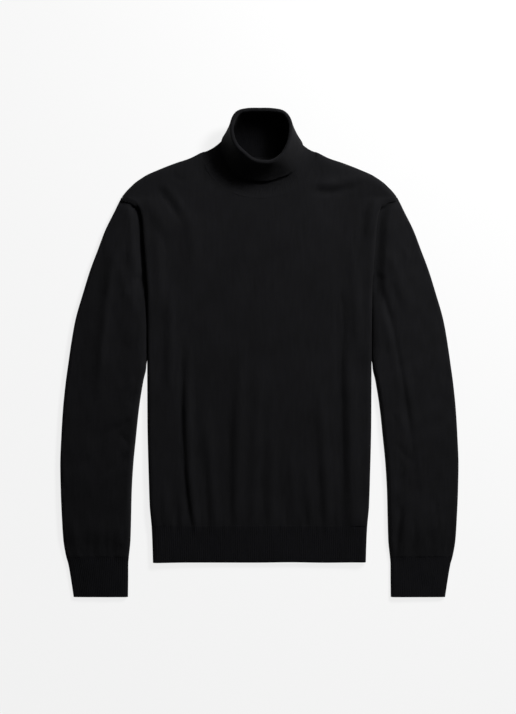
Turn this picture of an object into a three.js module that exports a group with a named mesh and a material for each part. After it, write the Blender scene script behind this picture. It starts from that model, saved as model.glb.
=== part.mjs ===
// A long-sleeved turtleneck sweater in fine black wool knit, laid out flat with its front up.
// Millimetres. The origin is the middle of the laid-out garment on the surface that it lies on:
// +X is the wearer's left, +Y points from the hem to the collar and +Z out of the front.
// The sides of the body are tucked under, as a knit is laid out, so the front reaches round each
// side and ends at a side seam underneath. The collar stands up, leans back and is folded over once.
import * as THREE from "three";

// Driving sizes
const CLOTH = 1.5; // the knit's thickness
const SEAM_GAP = 0.3; // between two pieces that are sewn together
const HALF_CLOTH = CLOTH / 2;
const LAYER = CLOTH + SEAM_GAP; // from one cloth to the next one lying on it
const TUCK = 58; // how far each side of the body is folded under
const HEM_SEAM_Y = -291.5; // where the waist rib starts
const HEM_END_Y = -353;
const CUFF_SEAM_Y = -343;
const CUFF_END_Y = -411.3;
const UNDERARM_Y = 113;
const SHOULDER_TIP_Y = 261;
const TIP_OPENS = { from: 238, to: 254 }; // where the rolled armhole opens out towards the tip
const NECK = { half: 96, y: 337, frontDrop: 77, backDrop: 9 }; // the neck seam, seen from above
const RIB_PITCH = 3.6; // one raised wale and the groove beside it
const RIB_DEPTH = 0.55;
const BODY_HEIGHT = 5.7; // the front's middle, above the surface, to the middle of the cloth
const SIDE_RISE = 5.2; // and how much higher it runs along its sides
const SIDE_BULGE = 5.5; // how far a folded side rounds out past the flat of the front
const ARMHOLE_RISE = 2.2; // and still higher where the sleeve is sewn in
const SHOULDER_ROUND = 13; // how far from the shoulder line the front curves down to it
const ROLL_DEPTH = 5.2; // from the front down to the underside of its roll beside the armhole
const HEM_HEIGHT = 6.4;
const HEM_END_DROP = 0.8; // how much lower the waist rib's end lies, and the cuffs' ends
const CUFF_END_DROP = 0.7;
const ARM_HEIGHT = 11.5;
const CUFF_HEIGHT = 6;
const ARM_EDGE = 5; // radius of the sleeve's outer edge, seen from above
const ARM_SHOULDER = 14; // the sleeve's folds fade this far in from its outer edge
const UNDER_INSET = 1.6; // from the sleeve's inner edge to the edge of its underside
const COLLAR_ROLL = 2.6; // radius of the collar's fold
const FLAP_GAP = 3.6; // from the stand to the folded-over part, at its edge
const NECK_GAP = 0.75; // from the neck edge to the middle of the collar's slanting cloth
const FLAP_SHARE = 0.52; // how much of the stand the folded-over part covers

// Half the body's width, from the waist rib to the shoulder tip
const BODY_SIDE = [
  { y: -353.5, half: 179.2 },
  { y: -320, half: 180.2 },
  { y: -291.5, half: 181.6 },
  { y: -258, half: 184.6 },
  { y: -211, half: 186.2 },
  { y: -117, half: 188.4 },
  { y: -23, half: 188.8 },
  { y: 60, half: 189.4 },
  { y: 113, half: 190.2 },
  { y: 155, half: 193 },
  { y: 189, half: 195.6 },
  { y: 219, half: 198 },
  { y: 236, half: 201 },
  { y: 246, half: 206 },
  { y: 256, half: 216 },
  { y: 261, half: 231 },
];

// The shoulder line, from the neck seam to the shoulder tip
const SHOULDER = [
  { x: 0, y: 384 },
  { x: 96, y: 337 },
  { x: 118, y: 326 },
  { x: 138, y: 319.3 },
  { x: 156, y: 312.6 },
  { x: 172.5, y: 305.8 },
  { x: 188, y: 299 },
  { x: 199, y: 292.3 },
  { x: 208.5, y: 285.6 },
  { x: 215.5, y: 279 },
  { x: 222.5, y: 272 },
  { x: 231, y: 261.5 },
];

// The sleeve's edges away from the body and towards it
const SLEEVE_SIDE = [
  { y: 261, outer: 232.2, inner: 229 },
  { y: 258.7, outer: 233.4, inner: 223 },
  { y: 238.6, outer: 243, inner: 202.5 },
  { y: 205, outer: 259.6, inner: 197 },
  { y: 171, outer: 272.5, inner: 194.2 },
  { y: 137.8, outer: 285, inner: 191.8 },
  { y: 104, outer: 295.5, inner: 190.9 },
  { y: 54, outer: 309.8, inner: 190.1 },
  { y: 20, outer: 316, inner: 189.9 },
  { y: -24, outer: 322.4, inner: 190.3 },
  { y: -47, outer: 325.6, inner: 195 },
  { y: -94, outer: 330.5, inner: 202.4 },
  { y: -141, outer: 333.4, inner: 207.4 },
  { y: -188, outer: 335.2, inner: 212 },
  { y: -235, outer: 334.3, inner: 214.7 },
  { y: -282, outer: 332.2, inner: 215.8 },
  { y: -316, outer: 330, inner: 216.8 },
  { y: -343, outer: 325.5, inner: 219.4 },
  { y: -356, outer: 321.8, inner: 220.5 },
  { y: -380, outer: 317.6, inner: 220.6 },
  { y: -411.3, outer: 312.8, inner: 221 },
];

// Folds that stand up from the cloth: the three points that a fold's crest passes, how high it is,
// how wide, and how much of each end fades out
const FRONT_FOLDS = [
  { from: [-158, -296], by: [-156, -262], to: [-160, -200], rise: 2.2, width: 8, fade: 0.5 },
  { from: [-132, -296], by: [-131, -270], to: [-136, -220], rise: 2.1, width: 6, fade: 0.5 },
  { from: [-106, -300], by: [-120, -215], to: [-123, -25], rise: 4.4, width: 8, fade: 0.22 },
  { from: [-74, -300], by: [-79, -230], to: [-94, -50], rise: 2.8, width: 10, fade: 0.35 },
  { from: [-40, -300], by: [-39, -190], to: [-28, 60], rise: 3.7, width: 10, fade: 0.35 },
  { from: [-11, -300], by: [-7, -200], to: [1, 20], rise: 1.9, width: 8, fade: 0.45 },
  { from: [20, -300], by: [21, -210], to: [19, -60], rise: 2.2, width: 9, fade: 0.45 },
  { from: [57, -300], by: [57, -220], to: [50, -130], rise: 1.7, width: 9, fade: 0.45 },
  { from: [86, -300], by: [83, -250], to: [80, -170], rise: 1.7, width: 7, fade: 0.45 },
  { from: [114, -300], by: [114, -210], to: [98, -20], rise: 3.2, width: 9, fade: 0.35 },
  { from: [157, -300], by: [158, -200], to: [146, 40], rise: 4.2, width: 13, fade: 0.25 },
  { from: [-150, -70], by: [-151, 20], to: [-147, 130], rise: 2.9, width: 9, fade: 0.4 },
  { from: [165, 0], by: [163, 100], to: [158, 200], rise: 2.5, width: 9, fade: 0.4 },
  { from: [-192, 262], by: [-172, 236], to: [-146, 184], rise: 2.6, width: 12, fade: 0.4 },
  { from: [98, 284], by: [138, 281], to: [190, 300], rise: 2.6, width: 9, fade: 0.35 },
  { from: [198, 262], by: [186, 230], to: [178, 180], rise: 2.6, width: 9, fade: 0.4 },
  { from: [-176, 205], by: [-166, 150], to: [-166, 60], rise: 2.2, width: 9, fade: 0.4 },
  { from: [-120, 236], by: [-108, 190], to: [-112, 120], rise: 1.8, width: 12, fade: 0.5 },
];
// The sleeves' folds, whose places are given at distances out from the body's middle
const RIGHT_SLEEVE_FOLDS = [
  { from: [242, 180], by: [264, 60], to: [272, -120], rise: 2.4, width: 11, fade: 0.3 },
  { from: [214, -85], by: [226, -110], to: [246, -128], rise: 1.8, width: 9, fade: 0.35 },
  { from: [230, 150], by: [226, 110], to: [206, 60], rise: 1.6, width: 10, fade: 0.4 },
  { from: [300, -350], by: [312, -318], to: [316, -270], rise: 1.8, width: 9, fade: 0.35 },
  { from: [236, -350], by: [232, -320], to: [238, -270], rise: 1.5, width: 8, fade: 0.35 },
  { from: [268, -348], by: [270, -315], to: [266, -260], rise: 1.2, width: 9, fade: 0.4 },
];
const LEFT_SLEEVE_FOLDS = [
  { from: [206, 66], by: [238, 0], to: [258, -130], rise: 2.6, width: 10, fade: 0.25 },
  { from: [214, 170], by: [236, 130], to: [252, 60], rise: 1.8, width: 11, fade: 0.35 },
  { from: [242, -350], by: [244, -310], to: [248, -250], rise: 2, width: 8, fade: 0.35 },
  { from: [300, -350], by: [302, -315], to: [300, -240], rise: 1.5, width: 9, fade: 0.35 },
  { from: [272, -348], by: [274, -320], to: [270, -270], rise: 1.3, width: 8, fade: 0.35 },
  { from: [222, -100], by: [240, -118], to: [262, -150], rise: 1.4, width: 10, fade: 0.4 },
];

// Stations round the collar, turning from the middle of the front to the wearer's left: the crest
// of its stand, and the place on the stand behind the edge of the folded-over part
const COLLAR_STATIONS = [
  { turn: 0, crest: [8, 318.8, 45], ledge: [8, 291, 12] },
  { turn: 22.5, crest: [22, 320.5, 45], ledge: [31.5, 296, 12] },
  { turn: 45, crest: [35.5, 329.5, 45], ledge: [55.5, 305, 12] },
  { turn: 67.5, crest: [45.5, 347, 44.5], ledge: [69, 325, 12] },
  { turn: 90, crest: [49.4, 367, 44], ledge: [71, 345, 12] },
  { turn: 112.5, crest: [47.8, 384.5, 43.5], ledge: [61, 360, 11] },
  { turn: 135, crest: [38.5, 397, 43], ledge: [46, 371, 10.5] },
  { turn: 157.5, crest: [21, 400.8, 43], ledge: [25, 375, 10] },
  { turn: 180, crest: [0, 401.2, 43], ledge: [0, 377, 10] },
  { turn: 202.5, crest: [-20.5, 400.8, 43], ledge: [-24, 374, 10] },
  { turn: 225, crest: [-35.5, 396, 43], ledge: [-42, 369, 10.5] },
  { turn: 247.5, crest: [-43, 380.5, 43.5], ledge: [-52, 358, 11] },
  { turn: 270, crest: [-42.4, 362, 44], ledge: [-54.5, 342, 12] },
  { turn: 292.5, crest: [-36, 346, 44.5], ledge: [-52, 321, 12] },
  { turn: 315, crest: [-23.5, 333, 45], ledge: [-41, 302, 12] },
  { turn: 337.5, crest: [-8, 321.5, 45], ledge: [-18, 292.5, 12] },
];

const TIP_SLANT = 0.108; // how much the shoulder line falls over the opened-out side, per height
// From the front's edge down to the sleeve under it: beside the rolled armhole, and at the tip,
// where the last columns of the front cut the shoulder's curve
const SLEEVE_DROP = { armhole: 8.9, tip: 2.9, chord: 3 };
const SLEEVE_RISE = { from: 6, to: 22 }; // where the sleeve climbs beside the armhole seam
const ARMHOLE_GAP = 0.6; // between the back and the sleeve's underside, whose edges run aslant
const BACK_INSET = { tucked: 0.8, armhole: 1.6 }; // from the flat of the front in to the back's edge
const SEAM_STEPS = [18, 12, 8, 4.5]; // columns beside the armhole, from the seam

// How finely each piece is cut
const COLUMNS = { side: 10, frontNeck: 16, backNeck: 8, armTop: 11, armUnder: 1, collar: 40 };

const clamp = (value, low, high) => Math.min(high, Math.max(low, value));
const mix = (a, b, share) => a + (b - a) * share;
const smooth = (low, high, value) => {
  const share = clamp((value - low) / (high - low), 0, 1);
  return share * share * (3 - 2 * share);
};
// A quarter of a circle's rise: 0 at an edge, 1 at the radius and beyond it
const roundOver = (distance, radius) => {
  const share = 1 - clamp(distance / radius, 0, 1);
  return Math.sqrt(1 - share * share);
};

// Reads a column of a table at a place between its rows, with no overshoot.
function read(table, key, column, at) {
  const rows = table[0][key] < table[table.length - 1][key] ? table : [...table].reverse();
  const place = clamp(at, rows[0][key], rows[rows.length - 1][key]);
  let i = 0;
  while (i < rows.length - 2 && rows[i + 1][key] < place) i += 1;
  const slope = (k) => (rows[k + 1][column] - rows[k][column]) / (rows[k + 1][key] - rows[k][key]);
  const tangent = (k) => {
    if (k === 0) return slope(0);
    if (k === rows.length - 1) return slope(k - 1);
    const [before, after] = [slope(k - 1), slope(k)];
    return before * after <= 0 ? 0 : (2 * before * after) / (before + after);
  };
  const span = rows[i + 1][key] - rows[i][key];
  const t = (place - rows[i][key]) / span;
  return (
    rows[i][column] * (1 + 2 * t) * (1 - t) ** 2 +
    tangent(i) * span * t * (1 - t) ** 2 +
    rows[i + 1][column] * t * t * (3 - 2 * t) +
    tangent(i + 1) * span * t * t * (t - 1)
  );
}

const bodyHalf = (y) => read(BODY_SIDE, "y", "half", y);
const flatHalf = (y) => bodyHalf(y) - HALF_CLOTH - SIDE_BULGE; // where the front starts to turn round
const shoulderY = (x) => read(SHOULDER, "x", "y", Math.abs(x));
const sleeveOuter = (y) => read(SLEEVE_SIDE, "y", "outer", y);
const sleeveInner = (y) => read(SLEEVE_SIDE, "y", "inner", y);

// The height that a set of folds adds at a place: each fold is a soft ridge along a bent line.
const FOLD_STEPS = 8;
function foldRise(folds, x, y) {
  let rise = 0;
  for (const fold of folds) {
    const place = (t, k) => (1 - t) ** 2 * fold.from[k] + 2 * t * (1 - t) * fold.by[k] + t * t * fold.to[k];
    let nearest = Infinity;
    let share = 0;
    for (let i = 0; i < FOLD_STEPS; i += 1) {
      const [ax, ay] = [place(i / FOLD_STEPS, 0), place(i / FOLD_STEPS, 1)];
      const [bx, by] = [place((i + 1) / FOLD_STEPS, 0) - ax, place((i + 1) / FOLD_STEPS, 1) - ay];
      const along = clamp(((x - ax) * bx + (y - ay) * by) / (bx * bx + by * by), 0, 1);
      const distance = Math.hypot(x - ax - along * bx, y - ay - along * by);
      if (distance < nearest) {
        nearest = distance;
        share = (i + along) / FOLD_STEPS;
      }
    }
    const ends = smooth(-0.05, fold.fade * 0.5, share) * smooth(0, fold.fade, 1 - share);
    rise += fold.rise * ends * Math.exp(-((nearest / fold.width) ** 2));
  }
  return rise;
}

// How much of the side is tucked under at a height: all of it up to just below the underarm. The
// back comes down to the surface only where the front's tuck has ended.
const tuckShare = (y) => 1 - smooth(UNDERARM_Y - 18, UNDERARM_Y - 10, y);
const backTuckShare = (y) => 1 - smooth(UNDERARM_Y - 9, UNDERARM_Y - 1, y);
// How much of the side's edge lies on the surface, and not on the sleeve.
const groundShare = (y) => 1 - smooth(UNDERARM_Y - 5, UNDERARM_Y + 6, y);
// The shoulder's end, where the side's roll opens out flat.
const tipShare = (y) => smooth(TIP_OPENS.from, TIP_OPENS.to, y);

const SHOULDER_SLOPE = 0.9; // the shoulder line's distance from a place, per distance along y

// The front's height above the surface, to the middle of the cloth.
function frontHeight(x, y) {
  const across = clamp(Math.abs(x) / bodyHalf(y), 0, 1);
  const raisedEdge = smooth(UNDERARM_Y - 80, UNDERARM_Y + 20, y) * ARMHOLE_RISE * across ** 8;
  const folded = BODY_HEIGHT + SIDE_RISE * across ** 3 + raisedEdge + foldRise(FRONT_FOLDS, x, y);
  const lowest = mix(HALF_CLOTH + LAYER, HALF_CLOTH + 3 * LAYER, smooth(0.5, 0.62, across));
  const shoulder = roundOver((shoulderY(x) - y) * SHOULDER_SLOPE, SHOULDER_ROUND);
  const seam = HALF_CLOTH + LAYER;
  return mix(seam, Math.max(folded, lowest), shoulder);
}

// The way that the front's cloth takes past its flat, at one side: out and round, then either back
// under to the side seam or down on to the sleeve. Each point is an offset out and a height.
const SIDE_TURN = [0.3, 0.62, 1, 1.35, 1.7, 2]; // quarter turns
function sidePath(y, top) {
  const ground = groundShare(y);
  const tip = tipShare(y);
  const bottom = mix(top - ROLL_DEPTH, HALF_CLOTH, ground);
  const middle = mix(top - ROLL_DEPTH * 0.7, (top + HALF_CLOTH) / 2, ground);
  const under = mix(0.15, 1, ground); // how far the lower quarter comes back in
  const path = SIDE_TURN.map((turn) => {
    const angle = (turn * Math.PI) / 2;
    const out = turn <= 1 ? Math.sin(angle) : 1 - under * (1 - Math.sin(angle));
    const height = turn <= 1 ? mix(middle, top, Math.cos(angle)) : mix(middle, bottom, -Math.cos(angle));
    return { out: out * SIDE_BULGE, height };
  });
  const end = path[path.length - 1];
  const back = mix(0.2, TUCK, tuckShare(y) * ground);
  path.push({ out: end.out - back, height: end.height - (1 - ground) * 0.6 });
  return path.map((point, i) => ({
    out: mix(point.out, (SIDE_BULGE * (i + 1)) / path.length, tip),
    height: mix(point.height, Math.max(top - 0.012 * (i + 1) ** 2, HALF_CLOTH + LAYER), tip),
  }));
}

// A closed solid between two faces that have the same rows and columns of points. In a ring the
// last column meets the first one.
function solidBetween(outer, inner, rows, columns, ring = false) {
  const count = rows * columns;
  const index = [];
  const quad = (a, b, c, d) => index.push(a, b, c, a, c, d);
  const spans = ring ? columns : columns - 1;
  for (let j = 0; j < spans; j += 1) {
    const next = (j + 1) % columns;
    const last = (rows - 1) * columns;
    for (let low = 0; low < last; low += columns) {
      const high = low + columns;
      quad(low + j, low + next, high + next, high + j);
      quad(high + j + count, high + next + count, low + next + count, low + j + count);
    }
    quad(j, j + count, next + count, next);
    quad(last + next, last + next + count, last + j + count, last + j);
  }
  for (let i = 0; i < rows - 1 && !ring; i += 1) {
    const [low, high] = [i * columns, (i + 1) * columns];
    const [lowEnd, highEnd] = [low + columns - 1, high + columns - 1];
    quad(high, high + count, low + count, low);
    quad(lowEnd, lowEnd + count, highEnd + count, highEnd);
  }
  const geometry = new THREE.BufferGeometry();
  const positions = [...outer, ...inner].flatMap((point) => point.toArray());
  geometry.setAttribute("position", new THREE.Float32BufferAttribute(positions, 3));
  geometry.setIndex(index);
  geometry.computeVertexNormals();
  return geometry;
}

// A wall of cloth round a grid of points, with half the cloth on each side of it. raise gives the
// outer face more height at a point, for ribs.
function clothWall(grid, { ring = false, raise = () => 0 } = {}) {
  const rows = grid.length;
  const columns = grid[0].length;
  const at = (i, j) => {
    const column = ring ? (j + columns) % columns : clamp(j, 0, columns - 1);
    return grid[clamp(i, 0, rows - 1)][column];
  };
  const outer = [];
  const inner = [];
  const along = new THREE.Vector3();
  const across = new THREE.Vector3();
  for (let i = 0; i < rows; i += 1) {
    for (let j = 0; j < columns; j += 1) {
      along.subVectors(at(i + 1, j), at(i - 1, j)).normalize();
      across.subVectors(at(i, j + 1), at(i, j - 1)).normalize();
      const normal = new THREE.Vector3().crossVectors(across, along).normalize();
      outer.push(at(i, j).clone().addScaledVector(normal, HALF_CLOTH + raise(i, j)));
      inner.push(at(i, j).clone().addScaledVector(normal, -HALF_CLOTH));
    }
  }
  return solidBetween(outer, inner, rows, columns, ring);
}

// A sheet between two heights over the same grid of places, for the back: its layers lie pressed
// together where the sides are tucked, so there it is one thicker solid with a rounded edge.
function layeredSheet(grid) {
  const places = grid.flat();
  const top = places.map((place) => new THREE.Vector3(place.x, place.y, place.top));
  const bottom = places.map((place) => new THREE.Vector3(place.x, place.y, place.bottom));
  return solidBetween(top, bottom, grid.length, grid[0].length);
}

// Where the front ends at the top: the shoulder line, and the neck seam between the two shoulders.
function frontTop(x) {
  const share = Math.abs(x) / NECK.half;
  if (share >= 1) return shoulderY(x);
  const scoop = NECK.y - NECK.frontDrop * Math.sqrt(1 - share * share);
  return Math.min(scoop, shoulderY(x));
}
function backTop(x) {
  const share = Math.abs(x) / NECK.half;
  if (share >= 1) return shoulderY(x);
  return Math.min(NECK.y - NECK.backDrop * Math.sqrt(1 - share * share), shoulderY(x));
}

// Shares from -1 to 1 across the front. The middle ones follow the neck seam at even angles.
function frontShares() {
  const neckShare = NECK.half / flatHalf(SHOULDER_TIP_Y);
  const shares = [];
  for (let i = 0; i < COLUMNS.side; i += 1) shares.push(mix(-1, -neckShare, i / COLUMNS.side));
  for (let i = 0; i <= COLUMNS.frontNeck; i += 1) {
    shares.push(-neckShare * Math.cos((Math.PI * i) / COLUMNS.frontNeck));
  }
  for (let i = 1; i <= COLUMNS.side; i += 1) shares.push(mix(neckShare, 1, i / COLUMNS.side));
  return shares;
}

const FRONT_ROWS = [
  -291.4, -272, -245, -205, -160, -105, -50, 10, 65, 95, 99, 103, 108, 113.5, 119, 135, 165, 200,
];
const UPPER_SHARES = [0.2, 0.4, 0.55, 0.66, 0.76, 0.87, 1];

function frontPanel() {
  const shares = frontShares();
  const splitY = FRONT_ROWS[FRONT_ROWS.length - 1];
  const rowAt = (yAt) => {
    const main = shares.map((share) => {
      const y = yAt(share * flatHalf(SHOULDER_TIP_Y));
      const x = share * flatHalf(y);
      return new THREE.Vector3(x, y, frontHeight(x, y));
    });
    const side = (corner, sign) =>
      sidePath(corner.y, corner.z).map((p) => {
        const y = yAt(flatHalf(SHOULDER_TIP_Y) + p.out);
        return new THREE.Vector3(corner.x + sign * p.out, mix(corner.y, y, tipShare(corner.y)), p.height);
      });
    return [...side(main[0], -1).reverse(), ...main, ...side(main[main.length - 1], 1)];
  };
  const grid = FRONT_ROWS.map((y) => rowAt(() => y));
  for (const upper of UPPER_SHARES) grid.push(rowAt((x) => mix(splitY, frontTop(x), upper)));
  return clothWall(grid);
}

// The back's edge lies inside the fold of the tucked side, and at the armhole on the surface.
const backHalf = (y) =>
  flatHalf(y) - mix(BACK_INSET.tucked, BACK_INSET.armhole, smooth(UNDERARM_Y - 14, UNDERARM_Y - 9, y));

function backSheetPoint(x, y) {
  const half = flatHalf(y);
  const tucked = backTuckShare(y) * smooth(half - TUCK - 18, half - TUCK - 3, Math.abs(x));
  const rounding = mix(1, roundOver(backHalf(y) - Math.abs(x) + 0.4, LAYER), tucked);
  const bottom = tucked * LAYER;
  const top = CLOTH + tucked * 2 * LAYER;
  const middle = (top + bottom) / 2;
  return { x, y, top: mix(middle, top, rounding), bottom: mix(middle, bottom, rounding) };
}

const BACK_ROWS = [-291.4, -200, -100, 0, 75, 99, 104, 108, 112, 125, 160, 200];
const BACK_UPPER_SHARES = [0.21, 0.39, 0.54, 0.65, 0.72, 0.79, 0.86, 1];

function backPanel() {
  const splitY = BACK_ROWS[BACK_ROWS.length - 1];
  const neckShare = NECK.half / backHalf(SHOULDER_TIP_Y);
  const half = [0.585, 0.667, 0.75, 0.85, 0.94, 0.985, 1];
  const neck = [];
  for (let i = 0; i <= COLUMNS.backNeck; i += 1) {
    neck.push(-neckShare * Math.cos((Math.PI * i) / COLUMNS.backNeck));
  }
  const shares = [...half.map((share) => -share).reverse(), ...neck, ...half];
  const rowAt = (heightAt) =>
    shares.map((share) => {
      const y = heightAt(share);
      return backSheetPoint(share * backHalf(y), y);
    });
  const grid = BACK_ROWS.map((y) => rowAt(() => y));
  for (const upper of BACK_UPPER_SHARES) {
    grid.push(rowAt((share) => mix(splitY, backTop(share * backHalf(SHOULDER_TIP_Y)), upper)));
  }
  return layeredSheet(grid);
}

// The waist rib: the front part wraps round with the front, and the back part lies inside it.
function frontHem() {
  const half = flatHalf(HEM_SEAM_Y);
  const ribs = Math.round((2 * half) / RIB_PITCH);
  const columns = ribs * 2;
  const rowY = [HEM_END_Y, HEM_END_Y + 2.5, HEM_SEAM_Y - SEAM_GAP];
  const heightAt = (x, y) => {
    const across = Math.abs(x) / half;
    const gathers = foldRise(FRONT_FOLDS, x, HEM_SEAM_Y) * smooth(HEM_SEAM_Y - 20, HEM_SEAM_Y, y);
    const end = y <= HEM_END_Y ? HEM_END_DROP : 0;
    return HEM_HEIGHT + SIDE_RISE * 0.55 * across ** 3 + gathers - end;
  };
  const sideColumns = SIDE_TURN.length + 1;
  const grid = rowY.map((y) => {
    const flat = flatHalf(y);
    const main = [];
    for (let i = 0; i <= columns; i += 1) {
      const x = flat * ((2 * i) / columns - 1);
      main.push(new THREE.Vector3(x, y, heightAt(x, y)));
    }
    const side = (corner, sign) =>
      sidePath(y, corner.z).map((p) => new THREE.Vector3(corner.x + sign * p.out, y, p.height));
    return [...side(main[0], -1).reverse(), ...main, ...side(main[columns], 1)];
  });
  const onTop = (j) => j >= sideColumns && j <= sideColumns + columns;
  return clothWall(grid, { raise: (i, j) => (onTop(j) && (j - sideColumns) % 2 === 1 ? RIB_DEPTH : 0) });
}

function backHem() {
  const shares = [0.3, 0.565, 0.65, 0.85, 0.97, 1];
  const both = [...shares.map((share) => -share).reverse(), 0, ...shares];
  const grid = [HEM_END_Y + 1, HEM_END_Y + 6, HEM_SEAM_Y - SEAM_GAP].map((y) =>
    both.map((share) => backSheetPoint(share * backHalf(y), y)),
  );
  return layeredSheet(grid);
}

// The height of the front's row whose edge, opened out at the shoulder's end, comes to lie at y.
const frontRowY = (y) => y + tipShare(y) * TIP_SLANT * (y - FRONT_ROWS[FRONT_ROWS.length - 1]);

// A sleeve's section at a height: from the underarm seam along the surface, round the outer edge
// and back over the top. Above the underarm its two ends open on to the armhole.
function armSection(y, side, folds, height, columns) {
  const outer = sleeveOuter(y);
  const joined = smooth(UNDERARM_Y + 8, UNDERARM_Y + 24, y); // 1 where it is sewn to the armhole
  const beside = smooth(-24, -6, y) * (1 - joined); // 1 where it lies against the body
  const inner = sleeveInner(y) - beside;
  const rowY = frontRowY(y);
  const underEnd = mix(inner + UNDER_INSET, backHalf(y) + ARMHOLE_GAP, joined);
  const topEnd = mix(inner + HALF_CLOTH, flatHalf(rowY) + SIDE_BULGE * 0.45, joined);
  const width = outer - topEnd;
  const edge = Math.min(ARM_EDGE, width * 0.3);
  const full = Math.min(height, 3 + width * 0.2);
  const points = [];
  for (let i = 0; i <= COLUMNS.armUnder; i += 1) {
    points.push([mix(underEnd, outer - edge, i / COLUMNS.armUnder), HALF_CLOTH]);
  }
  const edgeTop = mix(HALF_CLOTH, full, 0.78);
  for (const turn of [0.45, 1, 1.55]) {
    const angle = (turn * Math.PI) / 2;
    const middle = (edgeTop + HALF_CLOTH) / 2;
    const x = outer - HALF_CLOTH - edge * (1 - Math.sin(angle));
    points.push([x, middle - (middle - HALF_CLOTH) * Math.cos(angle)]);
  }
  const last = HALF_CLOTH + LAYER;
  const alongTip = mix(SLEEVE_DROP.armhole, SLEEVE_DROP.tip, smooth(242, 256, rowY));
  const drop = alongTip + SLEEVE_DROP.chord * smooth(252, 259, y);
  const seamHeight = mix(last, Math.max(frontHeight(flatHalf(rowY), rowY) - drop, last), joined);
  const shares = [];
  if (columns === COLUMNS.armTop) {
    const even = columns - SEAM_STEPS.length;
    for (let i = 0; i <= even; i += 1) shares.push((i / even) * (1 - SEAM_STEPS[0] / width));
    for (const step of [...SEAM_STEPS.slice(1), 0]) shares.push(1 - step / width);
  } else {
    for (let i = 0; i <= columns; i += 1) shares.push(i / columns);
  }
  for (const share of shares) {
    const x = mix(outer - edge, topEnd, share);
    const dome = mix(edgeTop, full, Math.sin(Math.min(share * 1.6, 1) * Math.PI * 0.5));
    const fromSeam = x - topEnd;
    const riseFrom = Math.min(SLEEVE_RISE.from, width * 0.25);
    const armhole = smooth(riseFrom, Math.min(SLEEVE_RISE.to, width * 0.9), fromSeam);
    const towardBody = mix(roundOver(fromSeam + 0.01, mix(8, 14, beside)), armhole, joined);
    const cloth = dome + foldRise(folds, x, y) * roundOver(outer - x, ARM_SHOULDER);
    points.push([x, Math.max(mix(seamHeight, cloth, towardBody), last)]);
  }
  return points.map(([x, z]) => new THREE.Vector3(side * x, y, z));
}

const ARM_ROWS = [
  259.5, 256, 251, 246, 238, 228, 215, 200, 180, 155, 138, 129, 121, 112, 90, 62, 36, 10, -14, -32,
  -60, -100, -145, -190, -235, -280, -315, -335, -342.7,
];

function armGrid(rows, side, folds, heightAt, topColumns) {
  const grid = rows.map((y) => armSection(y, side, folds, heightAt(y), topColumns));
  return side > 0 ? grid : grid.map((row) => [...row].reverse());
}

function sleeve(side, folds) {
  const atCuff = CUFF_HEIGHT + RIB_DEPTH + SEAM_GAP;
  const heightAt = (y) => mix(atCuff, ARM_HEIGHT, smooth(CUFF_SEAM_Y, CUFF_SEAM_Y + 50, y));
  return clothWall(armGrid(ARM_ROWS, side, folds, heightAt, COLUMNS.armTop));
}

function cuff(side, folds) {
  const width = sleeveOuter(CUFF_SEAM_Y) - sleeveInner(CUFF_SEAM_Y);
  const columns = Math.round(width / RIB_PITCH) * 2;
  const rows = [CUFF_SEAM_Y - SEAM_GAP, CUFF_SEAM_Y - 12, CUFF_END_Y + 2, CUFF_END_Y];
  const gathers = folds.filter((fold) => fold.from[1] < CUFF_SEAM_Y);
  const heightAt = (y) => CUFF_HEIGHT - (y <= CUFF_END_Y ? CUFF_END_DROP : 0);
  const first = COLUMNS.armUnder + 4;
  const grid = armGrid(rows, side, gathers, heightAt, columns);
  const last = grid[0].length - 1;
  const raise = (i, j) => {
    const top = (side > 0 ? j : last - j) - first;
    return top >= 0 && top < columns - 1 && top % 2 === 1 ? RIB_DEPTH : 0;
  };
  return clothWall(grid, { raise });
}

// The collar's stand at a turn and a share of its height, from the neck seam to the crest.
function standPoint(turn, share) {
  const count = COLLAR_STATIONS.length;
  const place = (((turn / 360) * count) % count + count) % count;
  const first = Math.floor(place);
  const t = place - first;
  const smoothed = (name) => {
    const [a, b, c, d] = [-1, 0, 1, 2].map((k) => COLLAR_STATIONS[(first + k + count) % count][name]);
    return b.map(
      (_, k) =>
        b[k] * (1 + 2 * t) * (1 - t) ** 2 +
        0.5 * (c[k] - a[k]) * t * (1 - t) ** 2 +
        c[k] * t * t * (3 - 2 * t) +
        0.5 * (d[k] - b[k]) * t * t * (t - 1),
    );
  };
  const angle = (turn * Math.PI) / 180;
  const facing = Math.cos(angle);
  const onFrontSide = facing > 0;
  const drop = onFrontSide ? NECK.frontDrop : -NECK.backDrop;
  // the panel's edge is straight between its columns, so the seam follows it
  const step = Math.PI / (onFrontSide ? COLUMNS.frontNeck : COLUMNS.backNeck);
  const past = (((angle % step) + step) % step) - step / 2;
  const chord = Math.cos(step / 2) / Math.cos(past);
  const x = (NECK.half * chord - NECK_GAP) * Math.sin(angle);
  const y = NECK.y - drop * chord * facing + NECK_GAP * Math.abs(facing);
  // it climbs from the back on to the front just behind the shoulder
  const seamHeight = mix(HALF_CLOTH, Math.max(frontHeight(x, y), HALF_CLOTH), smooth(-0.5, 0.1, facing));
  const seam = [x, y, seamHeight];
  const ledge = smoothed("ledge");
  const crest = smoothed("crest");
  // a bent line from the seam to the crest that passes the ledge
  const at = 1 - FLAP_SHARE;
  const bent = seam.map((start, k) => {
    const pull = (ledge[k] - start * (1 - at) ** 2 - crest[k] * at * at) / (2 * at * (1 - at));
    return start * (1 - share) ** 2 + 2 * pull * share * (1 - share) + crest[k] * share * share;
  });
  return new THREE.Vector3(...bent);
}

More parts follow.
